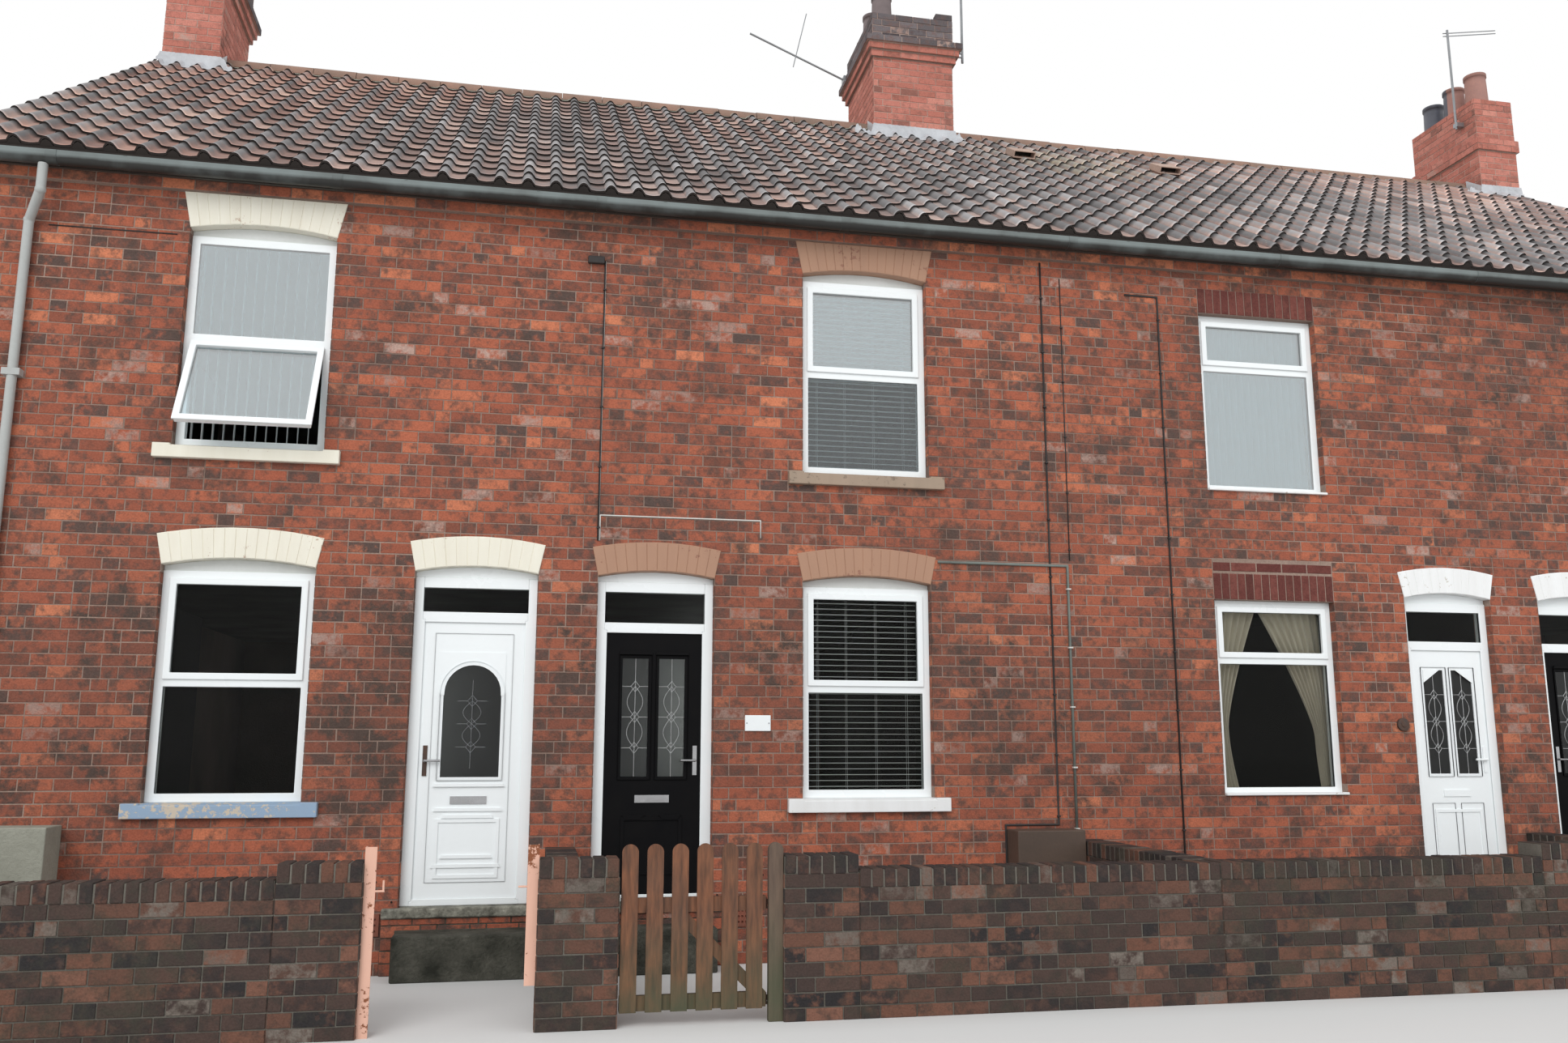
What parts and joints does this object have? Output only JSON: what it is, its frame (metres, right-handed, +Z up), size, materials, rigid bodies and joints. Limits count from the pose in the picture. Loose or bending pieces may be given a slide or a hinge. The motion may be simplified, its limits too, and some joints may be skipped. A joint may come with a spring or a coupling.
{
  "type": "terraced house row",
  "caption": "Row of two-storey brick terraced houses with pantiled roof, corbelled chimneys, arched windows, hinged doors, low front walls and a picket gate.",
  "frame": {"origin": "on the ground at the middle of the row, under the middle of the front wall's thickness", "axes": "+X along the row, to the right seen from the street; +Y from the street towards the back; +Z up"},
  "size_m": [17.4542, 11.4654, 11.6171],
  "materials": {
    "red_brick": "matt, weathered",
    "dark_brick": "matt, weathered",
    "roof_tile": "matt, mixed dark grey and orange",
    "clay_pot": "matt",
    "plaster": "matt",
    "floor_board": "matt",
    "painted_stone": "flaking paint",
    "pale_stone": "matt",
    "concrete": "rough",
    "white_plastic": "satin",
    "black_plastic": "satin",
    "grey_plastic": "matt",
    "dark_paint": "weathered",
    "black_wood": "painted",
    "green_wood": "painted",
    "gate_wood": "stained, weathered",
    "window_glass": "clear",
    "lead": "dull",
    "steel": "dull",
    "pink_steel": "flaking paint over rust",
    "black_iron": "rough",
    "cable": "matt"
  },
  "bodies": {
    "row": {"front_plinth": "red_brick", "front_walls": "red_brick", "front_piers": "red_brick", "front_wall_upper": "red_brick", "rear_wall": "red_brick", "end_walls": "red_brick", "party_walls": "plaster", "ground_floors": "floor_board", "upper_floors": "floor_board", "roof_front": "roof_tile", "roof_rear": "roof_tile", "ridge_tiles": "clay_pot", "fascias": "black_wood", "gutters": "dark_paint", "downpipes": "grey_plastic", "chimney_stacks": "red_brick", "chimney_breasts": "red_brick", "chimney_pots": "clay_pot", "chimney_lead": "lead", "aerials": "steel", "window_frames": "white_plastic", "opening_lights": "white_plastic", "window_glass": "window_glass", "painted_arches": "painted_stone", "soldier_lintels": "red_brick", "window_sills": "painted_stone", "door_jambs": "white_plastic", "door_rails": "white_plastic", "doorsteps": "concrete", "rear_windows": "white_plastic", "rear_doors": "green_wood", "rear_dressings": "pale_stone", "air_bricks": "clay_pot", "wall_cables": "cable", "meter_boxes": "concrete", "front_garden_walls": "dark_brick", "dividing_walls": "dark_brick", "gate_posts": "pink_steel", "timber_post": "gate_wood", "hinges": "black_iron"},
    "door_a": {"door_a": "white_plastic", "door_a_glass": "window_glass"},
    "door_b": {"door_b": "black_plastic", "door_b_glass": "window_glass"},
    "door_c": {"door_c": "white_plastic", "door_c_glass": "window_glass"},
    "door_d": {"door_d": "black_plastic", "door_d_glass": "window_glass"},
    "garden_gate": {"picket_gate": "gate_wood"}
  },
  "joints": [
    {"name": "door_a_hinge", "type": "hinge", "parent": "row", "child": "door_a", "pos_m": [-4.443, 0.0375, 0.498], "axis": [0, 0, -1], "range_deg": [0, 90]},
    {"name": "door_b_hinge", "type": "hinge", "parent": "row", "child": "door_b", "pos_m": [-3.857, 0.0375, 0.498], "axis": [0, 0, 1], "range_deg": [0, 90]},
    {"name": "door_c_hinge", "type": "hinge", "parent": "row", "child": "door_c", "pos_m": [3.115, 0.0375, 0.498], "axis": [0, 0, 1], "range_deg": [0, 90]},
    {"name": "door_d_hinge", "type": "hinge", "parent": "row", "child": "door_d", "pos_m": [5.185, 0.0375, 0.498], "axis": [0, 0, -1], "range_deg": [0, 90]},
    {"name": "garden_gate_hinge", "type": "hinge", "parent": "row", "child": "garden_gate", "pos_m": [-2.967, -2.0105, 0.08], "axis": [0, 0, -1], "range_deg": [0, 90]}
  ]
}
